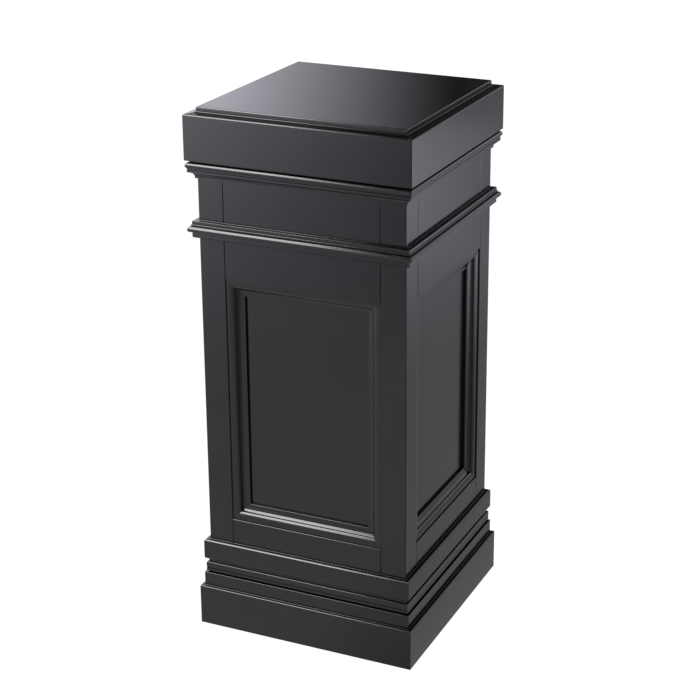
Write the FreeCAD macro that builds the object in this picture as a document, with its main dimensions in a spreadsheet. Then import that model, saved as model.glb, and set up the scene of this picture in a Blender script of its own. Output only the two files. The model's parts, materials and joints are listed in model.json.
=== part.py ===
"""Display plinth: a square frame-and-panel column with a stacked base, belt, cornice and deep cap.

Every piece is its own solid. Millimetres, +Z up, origin at the middle of the floor under the plinth.
Side pieces are drawn once, on the side that faces +X, and turned a quarter at a time for the other sides.
"""
import FreeCAD, Part
import math
import os
import re
import Sketcher

Vector = FreeCAD.Vector
Rotation = FreeCAD.Rotation
Placement = FreeCAD.Placement

# The four sides and the four corners, in the order reached by turning a quarter at a time about Z.
SIDES = ("right", "back", "left", "front")
CORNERS = ("back_right", "back_left", "front_left", "front_right")
QUARTER = 90.0

# Driving dimensions: (name, value, meaning). "half" is a distance from the middle of the column.
CELLS = (
    ("total_height", 1000.0, "floor to the top face"),
    ("plinth_half", 215.0, "middle to the face of the plinth boards"),
    ("body_half", 198.5, "middle to the face of posts and rails"),
    ("post_size", 48.9, "side of a corner post"),
    ("post_round", 1.5, "radius of a post's outer edge"),
    ("seam_bevel", 1.0, "bevel that makes the V between post and rail"),
    ("rail_thick", 38.5, "thickness of the rails"),
    ("rail_round", 1.2, "radius of a rail's edge at the panel opening"),
    ("panel_sunk", 18.5, "body face to panel face"),
    ("panel_thick", 8.0, "panel, tongue and groove thickness"),
    ("groove_depth", 10.0, "grooves in posts and rails"),
    ("tongue_slack", 0.5, "gap at the bottom of a groove behind a tongue"),
    ("panel_slack", 1.0, "gap at the bottom of a groove behind a panel"),
    ("opening_bottom", 222.0, "lower edge of the panel opening"),
    ("opening_top", 691.0, "upper edge of the panel opening"),
    ("pad_thick", 3.0, "felt pad under each post"),
    ("pad_radius", 16.0, "felt pad radius"),
    ("skirt_gap", 1.0, "floor to the plinth boards"),
    ("plinth_top", 78.3, "top of the plinth boards"),
    ("plinth_round", 1.6, "radius of the plinth boards' top edge"),
    ("joint_fillet", 0.6, "radius of the lacquer where a ledge meets the upright above it"),
    ("base_out", 9.5, "body face to the face of the lower base member"),
    ("base_step", 105.2, "top of the lower base member"),
    ("base_round", 0.7, "radius of the lower member's top edge"),
    ("gap_high", 3.2, "height of the deep groove above the lower member"),
    ("gap_out", 1.5, "body face to the back of the deep groove"),
    ("upper_out", 6.4, "body face to the face of the upper base member"),
    ("upper_top", 125.6, "top of the upper base member"),
    ("upper_round", 1.6, "radius of the upper member's top edge"),
    ("line_height", 113.0, "lower edge of the thin line cut in the upper member"),
    ("line_wide", 1.4, "width of the thin line"),
    ("line_deep", 1.5, "depth of the thin line"),
    ("neck_out", 2.5, "body face to the neck under the surbase"),
    ("base_top", 131.5, "top of the base moulding"),
    ("surbase_out", 9.2, "body face to the face of the surbase band"),
    ("surbase_under", 6.5, "radius of the surbase band's lower edge"),
    ("surbase_round", 4.2, "radius of the surbase band's upper edge"),
    ("surbase_top", 172.3, "top of the surbase band"),
    ("bead_half", 214.5, "middle to the nose of the belt and cornice beads"),
    ("belt_bottom", 763.0, "underside of the belt moulding"),
    ("belt_foot_out", 6.8, "body face to the outer end of the belt's sloping underside"),
    ("belt_foot_rise", 1.4, "rise of the belt's sloping underside"),
    ("belt_foot_high", 3.0, "underside to the straight face of the belt's lower fillet"),
    ("belt_out", 9.0, "body face to the faces of the belt's two fillets"),
    ("belt_nose", 780.5, "height of the belt bead's nose"),
    ("bead_radius", 5.5, "radius of the belt bead"),
    ("quirk_out", 8.4, "body face to the back of the groove above the belt bead"),
    ("quirk_high", 0.9, "height of the groove above the belt bead"),
    ("belt_step_high", 2.4, "height of the small step above that groove"),
    ("belt_step_round", 0.8, "radius of the small step's upper edge"),
    ("belt_round", 0.7, "radius of the upper fillet's top edge"),
    ("belt_top", 795.4, "top of the belt moulding"),
    ("cornice_bottom", 872.7, "underside of the cornice moulding"),
    ("cornice_foot_out", 3.3, "body face to the face of the cornice's lowest fillet"),
    ("cornice_foot_high", 2.9, "height of the cornice's lowest fillet"),
    ("cove_out", 11.6, "body face to the upper end of the cove"),
    ("cove_high", 11.7, "underside to the upper end of the cove"),
    ("cove_radius", 10.5, "radius of the cove"),
    ("cornice_out", 13.2, "body face to the face of the fillet under the bead"),
    ("cornice_line", 888.7, "lower edge of the thin line in that fillet"),
    ("cornice_line_wide", 1.2, "width of the thin line in that fillet"),
    ("cornice_line_deep", 1.0, "depth of the thin line in that fillet"),
    ("cornice_nose", 897.0, "height of the cornice bead's nose"),
    ("cornice_bead", 5.6, "radius of the cornice bead"),
    ("cornice_neck_out", 9.5, "body face to the recess between the bead and the cap"),
    ("cornice_neck_rise", 0.8, "rise of the bead's top into that recess"),
    ("cap_under_round", 1.2, "radius of the cap boards' lower edge"),
    ("cap_half", 215.3, "middle to the face of the cap boards"),
    ("cap_bottom", 906.0, "underside of the cap boards"),
    ("cap_top", 988.6, "top of the cap boards at their outer edge"),
    ("ledge_fall", 1.4, "fall of the cap boards' top, from the raised top out to the edge"),
    ("cap_round", 2.4, "radius of the cap boards' top edge"),
    ("top_board_thick", 22.0, "full thickness of the top board"),
    ("top_board_half", 197.3, "middle to the edge of the raised top"),
    ("top_board_round", 2.2, "radius of the raised top's upper edge"),
    ("top_step_half", 199.6, "middle to the small step under the raised top"),
    ("top_step_height", 3.4, "height of the small step"),
    ("top_step_round", 1.0, "radius of the small step's upper edge"),
    ("corner_round", 1.2, "radius of the outer corners of mitred boards"),
    ("mitre_run", 6.0, "how far a mitre cut runs past the strip"),
    ("strip_wide", 31.0, "panel moulding, outer edge to inner edge"),
    ("strip_high", 16.0, "panel moulding, height at its outer edge"),
    ("strip_lip", 5.0, "panel moulding, height of its inner edge"),
    ("strip_round", 0.8, "panel moulding, radius of its outer and inner edges"),
    ("strip_flat", 4.0, "outer edge to the start of the convex lobe"),
    ("lobe_radius", 25.9, "radius of the flatter part of the lobe"),
    ("lobe_bend", 12.0, "outer edge to the place where the lobe turns down"),
    ("lobe_sag", 1.27, "drop of the lobe there"),
    ("lobe_end_radius", 7.0, "radius of the lobe past that place"),
    ("lobe_end", 15.5, "outer edge to the quirk at the end of the lobe"),
    ("lobe_drop", 4.2, "drop of the lobe at the quirk"),
    ("lobe_quirk", 0.7, "depth of the quirk"),
    ("hollow_start", 16.0, "outer edge to the start of the hollow"),
    ("hollow_radius", 8.0, "radius of the steeper part of the hollow"),
    ("hollow_bend", 21.6, "outer edge to the place where the hollow flattens"),
    ("hollow_rise", 1.1, "height of the hollow there, above the inner edge"),
    ("hollow_end_radius", 32.0, "radius of the flatter part of the hollow"),
    ("lip_flat", 1.5, "end of the hollow to the inner edge"),
    ("floor_bottom", 40.0, "underside of the inner floor"),
    ("floor_thick", 12.0, "thickness of the inner floor"),
    ("floor_let_in", 6.0, "depth of the groove that holds the inner floor"),
    ("floor_slack", 0.5, "gap round the inner floor"),
    ("screw_radius", 2.0, "screw shank"),
    ("screw_length", 50.0, "screw, head included"),
    ("screw_head_radius", 4.0, "screw head"),
    ("screw_head_thick", 2.5, "screw head"),
    ("screw_spread", 100.0, "middle of a side to each of its screws"),
    ("skirt_screw_height", 26.0, "height of the screws in the plinth boards"),
    ("cap_screw_height", 947.0, "height of the screws in the cap boards"),
)

doc = FreeCAD.newDocument("display_plinth")
sheet = doc.addObject("Spreadsheet::Sheet", "Sizes")
pieces = []


def fill_sheet():
    """One row for each driving dimension: meaning, value, alias."""
    for row, (name, number, meaning) in enumerate(CELLS, start=1):
        sheet.set(f"A{row}", meaning)
        sheet.set(f"B{row}", str(number))
        sheet.setAlias(f"B{row}", name)
    doc.recompute()


def linked(formula):
    """The formula with each cell name pointing at the sheet."""
    return re.sub(r"\b[a-z]+(_[a-z]+)+\b", lambda found: "Sizes." + found.group(), formula)


def size(formula):
    """The formula's number now."""
    return float(sheet.evalExpression(formula))


def bind(item, prop, formula):
    item.setExpression(prop, linked(formula))


def turned(quarters, base=(0.0, 0.0, 0.0), tilt=Rotation()):
    """A placement on the +X side, then turned about Z by so many quarters."""
    turn = Placement(Vector(), Rotation(Vector(0, 0, 1), QUARTER * quarters))
    return turn.multiply(Placement(Vector(*base), tilt))


# Sketches ---------------------------------------------------------------------------------------------

def new_sketch(body, role, name, offset="0"):
    """An empty sketch on one of the body's own origin planes, moved along that plane's normal."""
    sketch = body.newObject("Sketcher::SketchObject", name)
    plane = [item for item in body.Origin.OriginFeatures if item.Role == role][0]
    sketch.AttachmentSupport = (plane, "")
    sketch.MapMode = "FlatFace"
    sketch.AttachmentOffset = Placement(Vector(0, 0, size(offset)), Rotation())
    bind(sketch, "AttachmentOffset.Base.z", offset)
    return sketch


def arc_between(start, end, radius, convex):
    """The short arc from start to end. Convex turns left, on an outline drawn anticlockwise."""
    chord = end - start
    rise = math.sqrt(max(radius ** 2 - (chord.Length / 2) ** 2, 0.0))
    left = Vector(-chord.y, chord.x, 0).normalize()
    centre = (start + end) / 2 + left * (rise if convex else -rise)
    first, last = (start, end) if convex else (end, start)
    angles = [math.atan2(point.y - centre.y, point.x - centre.x) for point in (first, last)]
    return Part.ArcOfCircle(Part.Circle(centre, Vector(0, 0, 1), radius), *angles)


def draw_outline(sketch, corners):
    """A closed outline through the corners, anticlockwise, every size bound to the sheet.

    A corner is (x, y), or (x, y, "round", radius) or (x, y, "hollow", radius) where an arc leaves it.
    """
    points = [Vector(size(corner[0]), size(corner[1]), 0) for corner in corners]
    ends = []
    for number, corner in enumerate(corners):
        start = points[number]
        end = points[(number + 1) % len(points)]
        curved = len(corner) == 4
        convex = curved and corner[2] == "round"
        if curved:
            line = sketch.addGeometry(arc_between(start, end, size(corner[3]), convex))
            radius = sketch.addConstraint(Sketcher.Constraint("Radius", line, size(corner[3])))
            bind(sketch, f"Constraints[{radius}]", corner[3])
        else:
            line = sketch.addGeometry(Part.LineSegment(start, end))
        ends.append((line, (1, 2) if convex or not curved else (2, 1)))
    for number, corner in enumerate(corners):
        line, (tail, head) = ends[number]
        following, (next_tail, _) = ends[(number + 1) % len(ends)]
        sketch.addConstraint(Sketcher.Constraint("Coincident", line, head, following, next_tail))
        for kind, formula in (("DistanceX", corner[0]), ("DistanceY", corner[1])):
            place = sketch.addConstraint(Sketcher.Constraint(kind, -1, 1, line, tail, size(formula)))
            bind(sketch, f"Constraints[{place}]", formula)


def draw_circle(sketch, x, y, radius):
    circle = sketch.addGeometry(Part.Circle(Vector(size(x), size(y), 0), Vector(0, 0, 1), size(radius)))
    limits = (
        (Sketcher.Constraint("Radius", circle, size(radius)), radius),
        (Sketcher.Constraint("DistanceX", -1, 1, circle, 3, size(x)), x),
        (Sketcher.Constraint("DistanceY", -1, 1, circle, 3, size(y)), y),
    )
    for limit, formula in limits:
        bind(sketch, f"Constraints[{sketch.addConstraint(limit)}]", formula)


def rectangle(x_low, y_low, x_high, y_high):
    return ((x_low, y_low), (x_high, y_low), (x_high, y_high), (x_low, y_high))


# Solid features ---------------------------------------------------------------------------------------

def new_body(label, placement):
    body = doc.addObject("PartDesign::Body", label)
    body.Label = label
    body.Placement = placement
    pieces.append(body)
    return body


def pad(body, sketch, length, both_ways=False):
    feature = body.newObject("PartDesign::Pad", sketch.Name + "_pad")
    feature.Profile = sketch
    feature.SideType = "Symmetric" if both_ways else "One side"
    bind(feature, "Length", length)
    return feature


def cut_through(body, sketch):
    """Removes the sketch's outlines right through the body, both ways from the sketch plane."""
    doc.recompute()
    before = body.Shape.Volume
    feature = body.newObject("PartDesign::Pocket", sketch.Name + "_cut")
    feature.Profile = sketch
    feature.SideType = "Symmetric"
    feature.Type = "ThroughAll"
    doc.recompute()
    if body.Shape.Volume >= before:
        raise ValueError(f"{body.Label}: {sketch.Label} removes nothing")


def bore(body, name, start, depth, height, radius):
    """The two screw holes of a side, from the depth `start` outwards."""
    sketch = new_sketch(body, "YZ_Plane", name, start)
    for way in ("-1", "1"):
        draw_circle(sketch, f"{way} * screw_spread", height, radius)
    doc.recompute()
    before = body.Shape.Volume
    feature = body.newObject("PartDesign::Pocket", name + "_cut")
    feature.Profile = sketch
    feature.Reversed = True
    bind(feature, "Length", depth)
    doc.recompute()
    if body.Shape.Volume >= before:
        raise ValueError(f"{body.Label}: {name} removes nothing")


# Column: posts, rails, panels -------------------------------------------------------------------------

SEAM = "body_half - post_size"
PANEL_FACE = "body_half - panel_sunk"
PANEL_BACK = "body_half - panel_sunk - panel_thick"
GROOVE_END = "body_half - post_size + groove_depth"
RAIL_BACK = "body_half - rail_thick"
CARCASS_TOP = "total_height - top_board_thick"


def corner_post(corner, quarters):
    """Square post, rounded outside, bevelled at its seams, with a groove in each inner face."""
    body = new_body(f"corner_post_{corner}", turned(quarters))
    section = new_sketch(body, "XY_Plane", f"post_section_{corner}", "pad_thick")
    draw_outline(section, (
        (SEAM, SEAM),
        (PANEL_BACK, SEAM),
        (PANEL_BACK, GROOVE_END),
        (PANEL_FACE, GROOVE_END),
        (PANEL_FACE, SEAM),
        ("body_half - seam_bevel", SEAM),
        ("body_half", f"{SEAM} + seam_bevel"),
        ("body_half", "body_half - post_round", "round", "post_round"),
        ("body_half - post_round", "body_half"),
        (f"{SEAM} + seam_bevel", "body_half"),
        (SEAM, "body_half - seam_bevel"),
        (SEAM, PANEL_FACE),
        (GROOVE_END, PANEL_FACE),
        (GROOVE_END, PANEL_BACK),
        (SEAM, PANEL_BACK),
    ))
    pad(body, section, f"{CARCASS_TOP} - pad_thick")


def rail(label, quarters, bottom, top, opening_edge, inward, extra_groove):
    """Board between two posts: tongues at its ends, bevelled seams, grooved and rounded at the opening.

    opening_edge is the height of the edge at the opening. inward is "+" or "-", from it into the wood.
    """
    body = new_body(label, turned(quarters))
    tongue = f"{GROOVE_END} - tongue_slack"
    half_section = (
        (PANEL_BACK, SEAM),
        (PANEL_BACK, tongue),
        (PANEL_FACE, tongue),
        (PANEL_FACE, SEAM),
        ("body_half - seam_bevel", SEAM),
        ("body_half", f"{SEAM} - seam_bevel"),
    )
    mirrored = tuple((x, f"-({y})") for x, y in half_section)
    section = new_sketch(body, "XY_Plane", label + "_section", bottom)
    draw_outline(section, (
        (RAIL_BACK, f"-({SEAM})"),
        *mirrored,
        *reversed(half_section),
        (RAIL_BACK, SEAM),
    ))
    pad(body, section, f"{top} - ({bottom})")

    edges = new_sketch(body, "XZ_Plane", label + "_edges")
    groove = (opening_edge, f"{opening_edge} {inward} groove_depth")
    low, high = groove if inward == "+" else groove[::-1]
    draw_outline(edges, rectangle(PANEL_BACK, low, PANEL_FACE, high))
    rounded = f"{opening_edge} {inward} rail_round"
    if inward == "+":
        draw_outline(edges, (
            ("body_half - rail_round", opening_edge),
            ("body_half", opening_edge),
            ("body_half", rounded, "hollow", "rail_round"),
        ))
    else:
        draw_outline(edges, (
            ("body_half", rounded),
            ("body_half", opening_edge),
            ("body_half - rail_round", opening_edge, "hollow", "rail_round"),
        ))
    if extra_groove:
        draw_outline(edges, rectangle(RAIL_BACK, "floor_bottom", f"{RAIL_BACK} + floor_let_in",
                                      "floor_bottom + floor_thick"))
    cut_through(body, edges)
    return body


def screw_holes(body, height):
    """Clearance holes through a rail, with a flat seat for each screw head on the inside."""
    bore(body, body.Label + "_holes", RAIL_BACK, "rail_thick", height, "screw_radius")
    bore(body, body.Label + "_seats", RAIL_BACK, "screw_head_thick", height, "screw_head_radius")


def rails(side, quarters):
    top = rail(f"top_rail_{side}", quarters, "opening_top", CARCASS_TOP, "opening_top", "+", False)
    screw_holes(top, "cap_screw_height")
    edge = "opening_bottom"
    bottom = rail(f"bottom_rail_{side}", quarters, "pad_thick", edge, edge, "-", True)
    screw_holes(bottom, "skirt_screw_height")


def panel(side, quarters):
    """Flat board held in the grooves of posts and rails."""
    board = doc.addObject("Part::Box", f"panel_{side}")
    board.Label = f"panel_{side}"
    half = f"{GROOVE_END} - panel_slack"
    low = "opening_bottom - groove_depth + panel_slack"
    bind(board, "Length", "panel_thick")
    bind(board, "Width", f"2 * ({half})")
    bind(board, "Height", f"opening_top + groove_depth - panel_slack - ({low})")
    board.Placement = turned(quarters, (size(PANEL_BACK), -size(half), size(low)))
    pieces.append(board)


# Mitred strips round the column -----------------------------------------------------------------------

def mitred_strip(label, quarters, outer, profile):
    """A moulding on one side. The profile is (distance from the middle, height), anticlockwise."""
    body = new_body(label, turned(quarters))
    section = new_sketch(body, "XZ_Plane", label + "_profile")
    draw_outline(section, profile)
    pad(body, section, f"2 * ({outer})", both_ways=True)

    inner_end = "body_half - mitre_run"
    outer_end = f"{outer} + mitre_run"
    back_off = f"{outer} - corner_round"
    diagonal = f"{outer} - corner_round * (1 - sqrt(0.5))"
    mitre = new_sketch(body, "XY_Plane", label + "_mitres")
    draw_outline(mitre, (
        (inner_end, inner_end),
        (diagonal, diagonal, "hollow", "corner_round"),
        (outer, back_off),
        (outer_end, back_off),
        (outer_end, outer_end),
        (inner_end, outer_end),
    ))
    draw_outline(mitre, (
        (inner_end, f"-({inner_end})"),
        (inner_end, f"-({outer_end})"),
        (outer_end, f"-({outer_end})"),
        (outer_end, f"-({back_off})"),
        (outer, f"-({back_off})", "hollow", "corner_round"),
        (diagonal, f"-({diagonal})"),
    ))
    cut_through(body, mitre)
    return body


def blind_holes(body, height):
    """Holes in the back of a board for the ends of the screws."""
    bore(body, body.Label + "_holes", "body_half", "screw_length - rail_thick", height, "screw_radius")


def plinth_board(side, quarters):
    """Flat board with a rounded top edge, and a bead of lacquer on top along the base moulding."""
    base_face = "body_half + base_out"
    body = mitred_strip(f"plinth_board_{side}", quarters, "plinth_half", (
        ("body_half", "skirt_gap"),
        ("plinth_half", "skirt_gap"),
        ("plinth_half", "plinth_top - plinth_round", "round", "plinth_round"),
        ("plinth_half - plinth_round", "plinth_top"),
        (f"{base_face} + joint_fillet", "plinth_top", "hollow", "joint_fillet"),
        (base_face, "plinth_top + joint_fillet"),
        (base_face, "plinth_top"),
        ("body_half", "plinth_top"),
    ))
    blind_holes(body, "skirt_screw_height")


def base_moulding(side, quarters):
    """A lower member, a deep groove, an upper member with a thin line cut in it, then a neck."""
    lower = "body_half + base_out"
    upper = "body_half + upper_out"
    gap = "body_half + gap_out"
    neck = "body_half + neck_out"
    mitred_strip(f"base_moulding_{side}", quarters, lower, (
        ("body_half", "plinth_top"),
        (lower, "plinth_top"),
        (lower, "base_step - base_round", "round", "base_round"),
        (f"{lower} - base_round", "base_step"),
        (gap, "base_step"),
        (gap, "base_step + gap_high"),
        (upper, "base_step + gap_high"),
        (upper, "line_height"),
        (f"{upper} - line_deep", "line_height + line_wide / 2"),
        (upper, "line_height + line_wide"),
        (upper, "upper_top - upper_round", "round", "upper_round"),
        (f"{upper} - upper_round", "upper_top"),
        (neck, "upper_top"),
        (neck, "base_top"),
        ("body_half", "base_top"),
    ))


def surbase_band(side, quarters):
    """Flat band, well rounded below and above, that the column stands in."""
    face = "body_half + surbase_out"
    mitred_strip(f"surbase_band_{side}", quarters, face, (
        ("body_half", "base_top"),
        (f"{face} - surbase_under", "base_top", "round", "surbase_under"),
        (face, "base_top + surbase_under"),
        (face, "surbase_top - surbase_round", "round", "surbase_round"),
        (f"{face} - surbase_round", "surbase_top"),
        ("body_half + joint_fillet", "surbase_top", "hollow", "joint_fillet"),
        ("body_half", "surbase_top + joint_fillet"),
    ))


def belt_moulding(side, quarters):
    """Lower fillet, half-round bead, groove and small step, then an upper fillet."""
    fillet = "body_half + belt_out"
    bead = "bead_half - bead_radius"
    quirk = "belt_nose + bead_radius"
    step = f"{quirk} + quirk_high + belt_step_high"
    mitred_strip(f"belt_moulding_{side}", quarters, "bead_half", (
        ("body_half", "belt_bottom"),
        ("body_half + belt_foot_out", "belt_bottom + belt_foot_rise"),
        (fillet, "belt_bottom + belt_foot_high"),
        (fillet, "belt_nose - bead_radius"),
        (bead, "belt_nose - bead_radius", "round", "bead_radius"),
        ("bead_half", "belt_nose", "round", "bead_radius"),
        (bead, quirk),
        ("body_half + quirk_out", quirk),
        ("body_half + quirk_out", f"{quirk} + quirk_high"),
        (bead, f"{quirk} + quirk_high"),
        (bead, f"{step} - belt_step_round", "round", "belt_step_round"),
        (f"{bead} - belt_step_round", step),
        (fillet, step),
        (fillet, "belt_top - belt_round", "round", "belt_round"),
        (f"{fillet} - belt_round", "belt_top"),
        ("body_half + joint_fillet", "belt_top", "hollow", "joint_fillet"),
        ("body_half", "belt_top + joint_fillet"),
    ))


def cornice_moulding(side, quarters):
    """Small fillet, cove, a fillet with a thin line in it, a half-round bead and a recess under the cap."""
    foot = "body_half + cornice_foot_out"
    fillet = "body_half + cornice_out"
    bead = "bead_half - cornice_bead"
    under = f"cornice_nose - sqrt(cornice_bead ^ 2 - ({fillet} - ({bead})) ^ 2)"
    neck = "body_half + cornice_neck_out"
    mitred_strip(f"cornice_moulding_{side}", quarters, "bead_half", (
        ("body_half", "cornice_bottom"),
        (foot, "cornice_bottom"),
        (foot, "cornice_bottom + cornice_foot_high", "hollow", "cove_radius"),
        ("body_half + cove_out", "cornice_bottom + cove_high"),
        (fillet, "cornice_bottom + cove_high"),
        (fillet, "cornice_line"),
        (f"{fillet} - cornice_line_deep", "cornice_line + cornice_line_wide / 2"),
        (fillet, "cornice_line + cornice_line_wide"),
        (fillet, under, "round", "cornice_bead"),
        ("bead_half", "cornice_nose", "round", "cornice_bead"),
        (bead, "cornice_nose + cornice_bead"),
        (neck, "cornice_nose + cornice_bead + cornice_neck_rise"),
        (neck, "cap_bottom"),
        ("body_half", "cap_bottom"),
    ))


def cap_board(side, quarters):
    """Deep board, its top falling a little from the raised top to a rounded edge."""
    body = mitred_strip(f"cap_board_{side}", quarters, "cap_half", (
        ("body_half", "cap_bottom"),
        ("cap_half - cap_under_round", "cap_bottom", "round", "cap_under_round"),
        ("cap_half", "cap_bottom + cap_under_round"),
        ("cap_half", "cap_top - cap_round", "round", "cap_round"),
        ("cap_half - cap_round", "cap_top"),
        ("top_step_half", "cap_top + ledge_fall"),
        ("top_step_half", "cap_top"),
        ("body_half", "cap_top"),
    ))
    blind_holes(body, "cap_screw_height")


# Panel mouldings --------------------------------------------------------------------------------------

def moulding_strip(label, placement, half_length):
    """One side of a panel's frame: flat, a quarter-round, a quirk, a cove, then a lip down to the panel.

    It lies on the panel along Y, X is out of the panel and Z is from the opening's edge to its middle.
    """
    body = new_body(label, placement)
    section = new_sketch(body, "XZ_Plane", label + "_profile")
    inner = "strip_wide - strip_round"
    draw_outline(section, (
        ("0", "0"),
        ("strip_high - strip_round", "0", "round", "strip_round"),
        ("strip_high", "strip_round"),
        ("strip_high", "strip_flat", "round", "lobe_radius"),
        ("strip_high - lobe_sag", "lobe_bend", "round", "lobe_end_radius"),
        ("strip_high - lobe_drop", "lobe_end"),
        ("strip_high - lobe_drop - lobe_quirk", "lobe_end"),
        ("strip_high - lobe_drop - lobe_quirk", "hollow_start", "hollow", "hollow_radius"),
        ("strip_lip + hollow_rise", "hollow_bend", "hollow", "hollow_end_radius"),
        ("strip_lip", "strip_wide - lip_flat"),
        ("strip_lip", inner, "round", "strip_round"),
        ("strip_lip - strip_round", "strip_wide"),
        ("0", "strip_wide"),
    ))
    pad(body, section, f"2 * ({half_length})", both_ways=True)

    mitre = new_sketch(body, "YZ_Plane", label + "_mitres")
    far = f"{half_length} + mitre_run"
    near = f"{half_length} - strip_wide - mitre_run"
    high = "strip_wide + mitre_run"
    draw_outline(mitre, ((far, "-mitre_run"), (far, high), (near, high)))
    draw_outline(mitre, ((f"-({far})", "-mitre_run"), (f"-({near})", high), (f"-({far})", high)))
    cut_through(body, mitre)


def panel_mouldings(side, quarters):
    """Four strips that frame one panel. Left and right are as seen from outside."""
    face = size(PANEL_FACE)
    seam = size(SEAM)
    low = size("opening_bottom")
    high = size("opening_top")
    middle = (low + high) / 2
    half_width = SEAM
    half_height = "(opening_top - opening_bottom) / 2"
    strips = (
        ("bottom", (face, 0, low), 0, half_width),
        ("right", (face, seam, middle), QUARTER, half_height),
        ("top", (face, 0, high), 2 * QUARTER, half_width),
        ("left", (face, -seam, middle), 3 * QUARTER, half_height),
    )
    for edge, base, tilt, half_length in strips:
        placement = turned(quarters, base, Rotation(Vector(1, 0, 0), tilt))
        moulding_strip(f"panel_moulding_{side}_{edge}", placement, half_length)


# Single pieces ----------------------------------------------------------------------------------------

def edges_level_with(shape, height):
    """The names of the straight edges that lie level at the height."""
    names = []
    for number, edge in enumerate(shape.Edges, start=1):
        if all(abs(point.Z - height) < 1e-6 for point in edge.Vertexes):
            names.append(f"Edge{number}")
    return names


def round_edges(body, feature, height, radius):
    doc.recompute()
    fillet = body.newObject("PartDesign::Fillet", f"{feature.Name}_round")
    fillet.Base = (feature, edges_level_with(feature.Shape, size(height)))
    bind(fillet, "Radius", radius)
    doc.recompute()


def square(body, name, half, height):
    sketch = new_sketch(body, "XY_Plane", name, height)
    draw_outline(sketch, rectangle(f"-({half})", f"-({half})", half, half))
    return sketch


def top_board():
    """Board let in between the cap boards, with a small step and a rounded edge above them."""
    body = new_body("top_board", Placement())
    step_top = "cap_top + top_step_height"
    pad(body, square(body, "board_core", "body_half", CARCASS_TOP), f"cap_top - ({CARCASS_TOP})")
    step = pad(body, square(body, "board_step", "top_step_half", "cap_top"), "top_step_height")
    round_edges(body, step, step_top, "top_step_round")
    raised = pad(body, square(body, "board_top", "top_board_half", step_top), f"total_height - ({step_top})")
    round_edges(body, raised, "total_height", "top_board_round")


def inner_floor():
    """Thin board in the grooves of the bottom rails, notched round the posts."""
    body = new_body("inner_floor", Placement())
    edge = f"{RAIL_BACK} + floor_let_in - floor_slack"
    notch = f"{SEAM} - floor_slack"
    right = ((edge, f"-({notch})"), (edge, notch), (notch, notch))
    top = ((notch, edge), (f"-({notch})", edge), (f"-({notch})", notch))
    left = ((f"-({edge})", notch), (f"-({edge})", f"-({notch})"), (f"-({notch})", f"-({notch})"))
    bottom = ((f"-({notch})", f"-({edge})"), (notch, f"-({edge})"), (notch, f"-({notch})"))
    sketch = new_sketch(body, "XY_Plane", "floor_outline", "floor_bottom")
    draw_outline(sketch, right + top + left + bottom)
    pad(body, sketch, "floor_thick")


def group(label, members):
    """Identical small pieces that share a node, each its own solid."""
    compound = doc.addObject("Part::Compound", label)
    compound.Label = label
    compound.Links = members
    pieces.append(compound)


def cylinder(name, radius, height, placement):
    item = doc.addObject("Part::Cylinder", name)
    bind(item, "Radius", radius)
    bind(item, "Height", height)
    item.Placement = placement
    return item


def fixing_screws():
    """Two screws through every rail, into the cap board or the plinth board outside it."""
    screws = []
    outward = Rotation(Vector(0, 1, 0), QUARTER)
    for quarters, side in enumerate(SIDES):
        for level in ("skirt", "cap"):
            for way in (-1, 1):
                height = size(f"{level}_screw_height")
                place = turned(quarters, (size(RAIL_BACK), way * size("screw_spread"), height), outward)
                name = f"screw_{level}_{side}_{'low' if way < 0 else 'high'}"
                head = cylinder(name + "_head", "screw_head_radius", "screw_head_thick", place)
                shank = cylinder(name + "_shank", "screw_radius", "screw_length", place)
                screw = doc.addObject("Part::MultiFuse", name)
                screw.Shapes = [head, shank]
                screws.append(screw)
    group("fixing_screws", screws)


def foot_pads():
    """A felt disc under the middle of each post."""
    pads = []
    middle = size("body_half - post_size / 2")
    for quarters, corner in enumerate(CORNERS):
        place = turned(quarters, (middle, middle, 0))
        pads.append(cylinder(f"pad_{corner}", "pad_radius", "pad_thick", place))
    group("foot_pads", pads)


# The whole plinth -------------------------------------------------------------------------------------

def build():
    fill_sheet()
    for quarters, corner in enumerate(CORNERS):
        corner_post(corner, quarters)
    for quarters, side in enumerate(SIDES):
        rails(side, quarters)
        panel(side, quarters)
        panel_mouldings(side, quarters)
        plinth_board(side, quarters)
        base_moulding(side, quarters)
        surbase_band(side, quarters)
        belt_moulding(side, quarters)
        cornice_moulding(side, quarters)
        cap_board(side, quarters)
    top_board()
    inner_floor()
    fixing_screws()
    foot_pads()
    doc.recompute()


def check_and_export():
    """Stops on any failed object or bad shape, then writes one STEP file for each piece."""
    for item in doc.Objects:
        if "Invalid" in item.State or "Error" in item.State:
            raise ValueError(f"{item.Label} failed: {item.State}")
    for piece in pieces:
        if piece.Shape.isNull() or not piece.Shape.isValid():
            raise ValueError(f"{piece.Label} has a bad shape")
    os.makedirs("parts", exist_ok=True)
    for piece in pieces:
        piece.Shape.exportStep(f"parts/{piece.Label}.step")
        print(piece.Label, len(piece.Shape.Solids), round(piece.Shape.Volume))


build()
check_and_export()
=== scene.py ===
"""Looks for the display plinth: near-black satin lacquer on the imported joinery, in a pale studio."""
import json
import math

import bpy
from mathutils import Matrix, Vector


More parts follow.
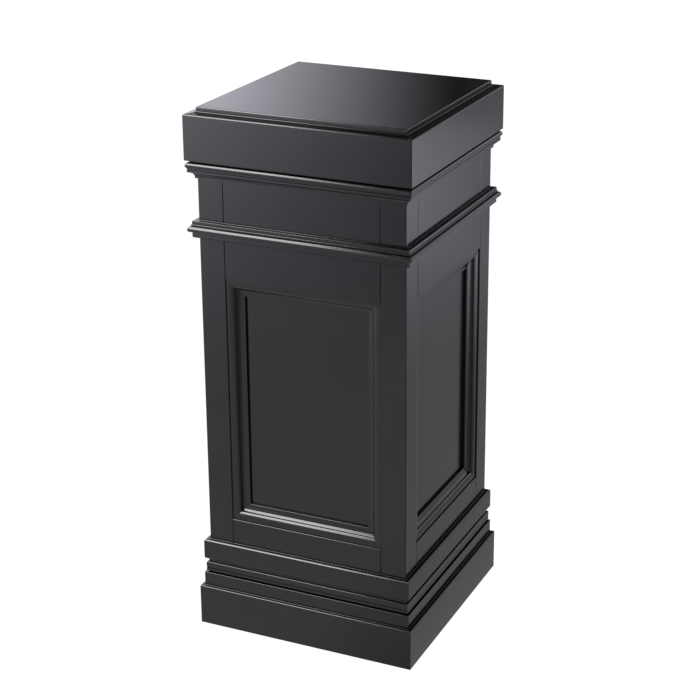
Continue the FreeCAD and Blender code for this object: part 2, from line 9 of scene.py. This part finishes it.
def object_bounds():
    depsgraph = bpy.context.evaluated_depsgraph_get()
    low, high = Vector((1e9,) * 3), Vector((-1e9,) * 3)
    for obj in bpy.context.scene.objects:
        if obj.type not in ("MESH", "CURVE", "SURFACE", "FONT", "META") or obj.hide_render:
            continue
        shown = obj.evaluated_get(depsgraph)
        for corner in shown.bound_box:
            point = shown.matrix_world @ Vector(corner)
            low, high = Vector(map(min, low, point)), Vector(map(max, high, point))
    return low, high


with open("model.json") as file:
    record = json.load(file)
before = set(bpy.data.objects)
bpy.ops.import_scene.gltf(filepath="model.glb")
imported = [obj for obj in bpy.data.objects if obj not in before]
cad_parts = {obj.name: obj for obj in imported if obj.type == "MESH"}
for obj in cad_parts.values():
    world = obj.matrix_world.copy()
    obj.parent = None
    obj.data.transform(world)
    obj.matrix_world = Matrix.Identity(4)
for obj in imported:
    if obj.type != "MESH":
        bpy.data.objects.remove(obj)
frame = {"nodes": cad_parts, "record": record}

# Lengths and places are in metres, and levels are strengths of glow.
CAD_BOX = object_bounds()
FLOOR_HEIGHT = CAD_BOX[0][2]
HEIGHT = CAD_BOX[1][2] - FLOOR_HEIGHT


# Camera -----------------------------------------------------------------------------------------------

CAMERA_YAW = math.radians(23.66)
CAMERA_PITCH = math.radians(19.04)
CAMERA_DISTANCE = 3.2931
CAMERA_AIM_HEIGHT = 0.6648 * HEIGHT
CAMERA_AIM_SIDE = 0.0732
CAMERA_LENS = 92.35
CAMERA_SHIFT = (-0.0564, -0.1123)


def add_camera():
    """Looks down at the plinth from in front and to the right of it."""
    camera = bpy.data.objects.new("camera", bpy.data.cameras.new("camera"))
    bpy.context.scene.collection.objects.link(camera)
    turn = Matrix.Rotation(CAMERA_YAW, 4, "Z") @ Matrix.Rotation(math.pi / 2 - CAMERA_PITCH, 4, "X")
    aim = Vector((0, 0, CAMERA_AIM_HEIGHT)) + turn.to_3x3() @ Vector((CAMERA_AIM_SIDE, 0, 0))
    back = turn.to_3x3() @ Vector((0, 0, CAMERA_DISTANCE))
    camera.matrix_world = Matrix.Translation(aim + back) @ turn
    camera.data.lens = CAMERA_LENS
    camera.data.shift_x, camera.data.shift_y = CAMERA_SHIFT
    bpy.context.scene.camera = camera


# Node helpers -----------------------------------------------------------------------------------------

def new_material(name):
    """A named material with its node tree and its shader node."""
    material = bpy.data.materials.new(name)
    material.use_nodes = True
    return material, material.node_tree, material.node_tree.nodes["Principled BSDF"]


def ramp(tree, value, span, ends, smooth=True):
    """The value mapped from the span to the two ends, held level outside the span."""
    node = tree.nodes.new("ShaderNodeMapRange")
    node.interpolation_type = "SMOOTHSTEP" if smooth else "LINEAR"
    node.inputs["From Min"].default_value, node.inputs["From Max"].default_value = span
    node.inputs["To Min"].default_value, node.inputs["To Max"].default_value = ends
    tree.links.new(value, node.inputs["Value"])
    return node.outputs["Result"]


def math_node(tree, operation, first, second):
    """Two values joined by the operation. The second may be a plain number."""
    node = tree.nodes.new("ShaderNodeMath")
    node.operation = operation
    tree.links.new(first, node.inputs[0])
    if isinstance(second, (int, float)):
        node.inputs[1].default_value = second
    else:
        tree.links.new(second, node.inputs[1])
    return node.outputs[0]


def vector_node(tree, operation, vector, constant):
    """The vector joined to a constant one, as a single value."""
    node = tree.nodes.new("ShaderNodeVectorMath")
    node.operation = operation
    tree.links.new(vector, node.inputs[0])
    node.inputs[1].default_value = constant
    return node.outputs["Value"]


def mixed_colour(tree, factor, colours):
    node = tree.nodes.new("ShaderNodeMix")
    node.data_type = "RGBA"
    tree.links.new(factor, node.inputs["Factor"])
    node.inputs["A"].default_value = (*colours[0], 1)
    node.inputs["B"].default_value = (*colours[1], 1)
    return node.outputs["Result"]


def object_coords(tree):
    return tree.nodes.new("ShaderNodeTexCoord").outputs["Object"]


def noise(tree, scale, detail=2.0, stretch=(1, 1, 1)):
    """Noise in the object's own metres, so `scale` is about the number of features in a metre."""
    mapping = tree.nodes.new("ShaderNodeMapping")
    mapping.inputs["Scale"].default_value = stretch
    tree.links.new(object_coords(tree), mapping.inputs["Vector"])
    node = tree.nodes.new("ShaderNodeTexNoise")
    node.inputs["Scale"].default_value = scale
    node.inputs["Detail"].default_value = detail
    tree.links.new(mapping.outputs["Vector"], node.inputs["Vector"])
    return node.outputs["Fac"]


def add_bump(tree, shader, height, distance):
    node = tree.nodes.new("ShaderNodeBump")
    node.inputs["Distance"].default_value = distance
    tree.links.new(height, node.inputs["Height"])
    tree.links.new(node.outputs["Normal"], shader.inputs["Normal"])


# Materials --------------------------------------------------------------------------------------------

# Noise seldom leaves this stretch, so a ramp over it reaches both of its ends.
NOISE_MIDDLE = (0.35, 0.65)

LACQUER_COLOURS = ((0.0016, 0.0016, 0.0018), (0.0026, 0.0026, 0.0028))
LACQUER_CLOUD = 14
LACQUER_ROUGHNESS = (0.14, 0.16)
LACQUER_SHEEN_PATCH = 5
LACQUER_RIPPLE = 30
LACQUER_RIPPLE_HEIGHT = 0.00002


def black_lacquer():
    """Near-black satin lacquer: a little uneven in depth of colour and in sheen."""
    material, tree, shader = new_material("satin_black_lacquer")
    depth = ramp(tree, noise(tree, LACQUER_CLOUD, detail=3), NOISE_MIDDLE, (0, 1))
    tree.links.new(mixed_colour(tree, depth, LACQUER_COLOURS), shader.inputs["Base Color"])
    sheen = ramp(tree, noise(tree, LACQUER_SHEEN_PATCH), NOISE_MIDDLE, LACQUER_ROUGHNESS)
    tree.links.new(sheen, shader.inputs["Roughness"])
    add_bump(tree, shader, noise(tree, LACQUER_RIPPLE, detail=1), LACQUER_RIPPLE_HEIGHT)
    return material


BOARD_COLOURS = ((0.34, 0.23, 0.13), (0.56, 0.42, 0.27))
BOARD_GRAIN = 90
BOARD_GRAIN_STRETCH = (1, 0.08, 1)
BOARD_ROUGHNESS = (0.62, 0.78)
BOARD_GRAIN_HEIGHT = 0.0001


def bare_board():
    """Unfinished plywood, its grain running along Y."""
    material, tree, shader = new_material("bare_plywood")
    lines = noise(tree, BOARD_GRAIN, detail=6, stretch=BOARD_GRAIN_STRETCH)
    grain = ramp(tree, lines, NOISE_MIDDLE, (0, 1))
    tree.links.new(mixed_colour(tree, grain, BOARD_COLOURS), shader.inputs["Base Color"])
    tree.links.new(ramp(tree, grain, (0, 1), BOARD_ROUGHNESS), shader.inputs["Roughness"])
    add_bump(tree, shader, grain, BOARD_GRAIN_HEIGHT)
    return material


ZINC_COLOURS = ((0.60, 0.60, 0.56), (0.63, 0.64, 0.68))
ZINC_CLOUD = 220
ZINC_ROUGHNESS = (0.28, 0.4)


def zinc_screw():
    """Zinc plate with a faint yellow and blue cast."""
    material, tree, shader = new_material("zinc_plate")
    cloud = ramp(tree, noise(tree, ZINC_CLOUD, detail=3), NOISE_MIDDLE, (0, 1))
    tree.links.new(mixed_colour(tree, cloud, ZINC_COLOURS), shader.inputs["Base Color"])
    tree.links.new(ramp(tree, cloud, (0, 1), ZINC_ROUGHNESS), shader.inputs["Roughness"])
    shader.inputs["Metallic"].default_value = 1
    return material


FELT_COLOURS = ((0.035, 0.035, 0.035), (0.09, 0.09, 0.09))
FELT_FIBRE = 900
FELT_ROUGHNESS = (0.9, 1)
FELT_PILE = 0.0004


def pad_felt():
    """Pressed dark felt."""
    material, tree, shader = new_material("dark_felt")
    fibres = ramp(tree, noise(tree, FELT_FIBRE, detail=5), NOISE_MIDDLE, (0, 1))
    tree.links.new(mixed_colour(tree, fibres, FELT_COLOURS), shader.inputs["Base Color"])
    tree.links.new(ramp(tree, fibres, (0, 1), FELT_ROUGHNESS), shader.inputs["Roughness"])
    add_bump(tree, shader, fibres, FELT_PILE)
    return material


def give_looks():
    """Puts each CAD node's own material in its slots, by the slot that the record names."""
    looks = {
        "black_lacquer": black_lacquer(),
        "bare_board": bare_board(),
        "zinc_screw": zinc_screw(),
        "pad_felt": pad_felt(),
    }
    for part in frame["record"]["subparts"]:
        for slot in frame["nodes"][part["node"]].material_slots:
            slot.material = looks[part["material_slot"]]


# Studio -----------------------------------------------------------------------------------------------

BACKGROUND = 1.05
DARK_ROOM = 0.04
FLOOR_SIZE = (60, 60)
FLOOR_MOTTLE = 3
FLOOR_MOTTLE_LEVEL = 0.02
WHITE = (1, 1, 1, 1)
UPRIGHT = Matrix.Rotation(math.pi / 2, 4, "X")


def add_plane(name, size, place):
    """A staged rectangle, flat in its own XY plane."""
    mesh = bpy.data.meshes.new(name)
    x, y = size[0] / 2, size[1] / 2
    mesh.from_pydata([(-x, -y, 0), (x, -y, 0), (x, y, 0), (-x, y, 0)], [], [(0, 1, 2, 3)])
    item = bpy.data.objects.new(name, mesh)
    item.matrix_world = place
    bpy.context.scene.collection.objects.link(item)
    return item


def glow_material(name):
    """A surface that shines and reflects nothing. The caller sets its strength and its colour."""
    material, tree, shader = new_material(name)
    shader.inputs["Base Color"].default_value = (0, 0, 0, 1)
    shader.inputs["Specular IOR Level"].default_value = 0
    return material, tree, shader


def across_and_up(tree):
    """Where a point lies on a panel: across it and up it, from its middle."""
    split = tree.nodes.new("ShaderNodeSeparateXYZ")
    tree.links.new(object_coords(tree), split.inputs[0])
    return split.outputs["X"], split.outputs["Y"]


def softened_in_mirrors(tree, strength, share):
    """The strength in full where a surface mirrors the light, and a share of it in a mirror of a mirror."""
    reflections = tree.nodes.new("ShaderNodeLightPath").outputs["Glossy Depth"]
    return math_node(tree, "MULTIPLY", strength, ramp(tree, reflections, (1, 2), (1, share), smooth=False))


def add_seen_floor():
    """The pale floor that the camera sees. Its unevenness stays within white."""
    floor = add_plane("studio_floor", FLOOR_SIZE, Matrix.Translation((0, 0, FLOOR_HEIGHT)))
    material, tree, shader = glow_material("pale_floor")
    shader.inputs["Emission Color"].default_value = WHITE
    levels = (BACKGROUND, BACKGROUND + FLOOR_MOTTLE_LEVEL)
    strength = ramp(tree, noise(tree, FLOOR_MOTTLE), NOISE_MIDDLE, levels)
    tree.links.new(strength, shader.inputs["Emission Strength"])
    floor.data.materials.append(material)
    floor.visible_diffuse = False
    floor.visible_glossy = False
    floor.visible_shadow = False


# The lit floor: dim to the right, paler to the left, with pools of light and two dim patches further out.
# Each pool has its centre, its radius and the level at its centre. A dim patch has a level below zero.
LIT_FLOOR_DROP = 0.0005
PALE_SIDE = (-0.996, -0.087, 0)
PALE_SPAN = (-0.342, 0.118)
PALE_LEVELS = (0.387, 0.776)
POOLS = (
    ((-4.59, -3.11, 0), 4.41, 4.5),
    ((3.98, 1.81, 0), 3.36, 6.0),
    ((3.5, -0.7, 0), 1.15, 8.0),
    ((-0.71, -3.85, 0), 2.57, -0.8),
    ((0.8, 2.9, 0), 0.85, -0.25),
)
NEAR_TINT = (1.0, 1.0, 1.03)
FAR_TINT = (1.0, 0.985, 1.11)
TINT_SPAN = (0.8, 2.4)


def add_lit_floor():
    """The floor that lights the plinth and is mirrored in its sides."""
    place = Matrix.Translation((0, 0, FLOOR_HEIGHT - LIT_FLOOR_DROP))
    floor = add_plane("studio_floor_lit", FLOOR_SIZE, place)
    material, tree, shader = glow_material("lit_floor")
    coords = object_coords(tree)
    strength = ramp(tree, vector_node(tree, "DOT_PRODUCT", coords, PALE_SIDE), PALE_SPAN, PALE_LEVELS)
    for centre, radius, level in POOLS:
        pool = ramp(tree, vector_node(tree, "DISTANCE", coords, centre), (0, radius), (level, 0))
        strength = math_node(tree, "ADD", strength, pool)
    tree.links.new(strength, shader.inputs["Emission Strength"])
    far = ramp(tree, vector_node(tree, "DISTANCE", coords, (0, 0, 0)), TINT_SPAN, (0, 1))
    tree.links.new(mixed_colour(tree, far, (NEAR_TINT, FAR_TINT)), shader.inputs["Emission Color"])
    floor.data.materials.append(material)
    floor.visible_camera = False


LEFT_WALL_PLACE = (-2.35, 2.5, 1.8)
LEFT_WALL_SIZE = (3.2, 3.6)
LEFT_WALL_FADE = (0.70, 1.64)
LEFT_WALL_DIM_TOP = ((0.4, 0.8), (1.47, 0.22))
LEFT_WALL_CURVE = 1.6
LEFT_WALL_TINT = (0.97, 0.95, 1.06, 1)


def add_left_wall():
    """Pale wall behind and to the left, mirrored in the top. It fades to the right, and it is dim above."""
    wall = add_plane("back_wall_left", LEFT_WALL_SIZE, Matrix.Translation(LEFT_WALL_PLACE) @ UPRIGHT)
    material, tree, shader = glow_material("left_wall_glow")
    across, up = across_and_up(tree)
    fade = ramp(tree, across, LEFT_WALL_FADE, (1, 0), smooth=False)
    curved = math_node(tree, "POWER", fade, LEFT_WALL_CURVE)
    level = ramp(tree, up, *LEFT_WALL_DIM_TOP)
    tree.links.new(math_node(tree, "MULTIPLY", curved, level), shader.inputs["Emission Strength"])
    shader.inputs["Emission Color"].default_value = LEFT_WALL_TINT
    wall.data.materials.append(material)
    wall.visible_camera = False


RIGHT_WALL_PLACE = (2.1, 3.6, 1.75)
RIGHT_WALL_SIZE = (3.4, 3.5)
RIGHT_WALL_RISE = (-1.15, -0.45)
RIGHT_WALL_LEVELS = (0.4, 1.6)
RIGHT_WALL_FALL = (-0.3, 0.45)
RIGHT_WALL_TOP = 0.3
RIGHT_WALL_SHARE = 0.3
RIGHT_WALL_TINT = (0.98, 0.97, 1.05, 1)


def add_right_wall():
    """Pale wall behind and to the right, mirrored in the mouldings of the right side."""
    wall = add_plane("back_wall_right", RIGHT_WALL_SIZE, Matrix.Translation(RIGHT_WALL_PLACE) @ UPRIGHT)
    material, tree, shader = glow_material("right_wall_glow")
    up = across_and_up(tree)[1]
    rise = ramp(tree, up, RIGHT_WALL_RISE, RIGHT_WALL_LEVELS)
    fall = ramp(tree, up, RIGHT_WALL_FALL, (1, RIGHT_WALL_TOP))
    glow = softened_in_mirrors(tree, math_node(tree, "MULTIPLY", rise, fall), RIGHT_WALL_SHARE)
    tree.links.new(glow, shader.inputs["Emission Strength"])
    shader.inputs["Emission Color"].default_value = RIGHT_WALL_TINT
    wall.data.materials.append(material)
    wall.visible_camera = False


KEY_PLACE = (-1.576, -1.140, 2.224)
KEY_FACING = (0.0467, 0.4918, -0.8679)
KEY_SIZE = (1.6, 4.2)
KEY_LEVEL = 12.5
KEY_FOOT = (-2.1, -1.5)
KEY_HEAD = (0.6, 2.1)
KEY_SHARE = 0.26


def add_key():
    """Large soft light above and to the left of the front, dimmer towards its two ends."""
    turn = Vector(KEY_FACING).to_track_quat("Z", "Y").to_matrix().to_4x4()
    panel = add_plane("key_panel", KEY_SIZE, Matrix.Translation(KEY_PLACE) @ turn)
    material, tree, shader = glow_material("key_glow")
    up = across_and_up(tree)[1]
    foot = ramp(tree, up, KEY_FOOT, (0, KEY_LEVEL))
    head = ramp(tree, up, KEY_HEAD, (1, 0))
    glow = softened_in_mirrors(tree, math_node(tree, "MULTIPLY", foot, head), KEY_SHARE)
    tree.links.new(glow, shader.inputs["Emission Strength"])
    shader.inputs["Emission Color"].default_value = WHITE
    panel.data.materials.append(material)
    panel.visible_camera = False


def add_surroundings():
    """White behind the plinth for the camera, and a dark room for all that the plinth mirrors."""
    world = bpy.data.worlds.new("studio")
    bpy.context.scene.world = world
    world.use_nodes = True
    tree = world.node_tree
    seen = tree.nodes.new("ShaderNodeLightPath").outputs["Is Camera Ray"]
    colour = mixed_colour(tree, seen, ((DARK_ROOM,) * 3, (BACKGROUND,) * 3))
    tree.links.new(colour, tree.nodes["Background"].inputs["Color"])


give_looks()
add_camera()
add_seen_floor()
add_lit_floor()
add_left_wall()
add_right_wall()
add_key()
add_surroundings()
bpy.context.scene.view_settings.view_transform = "Standard"
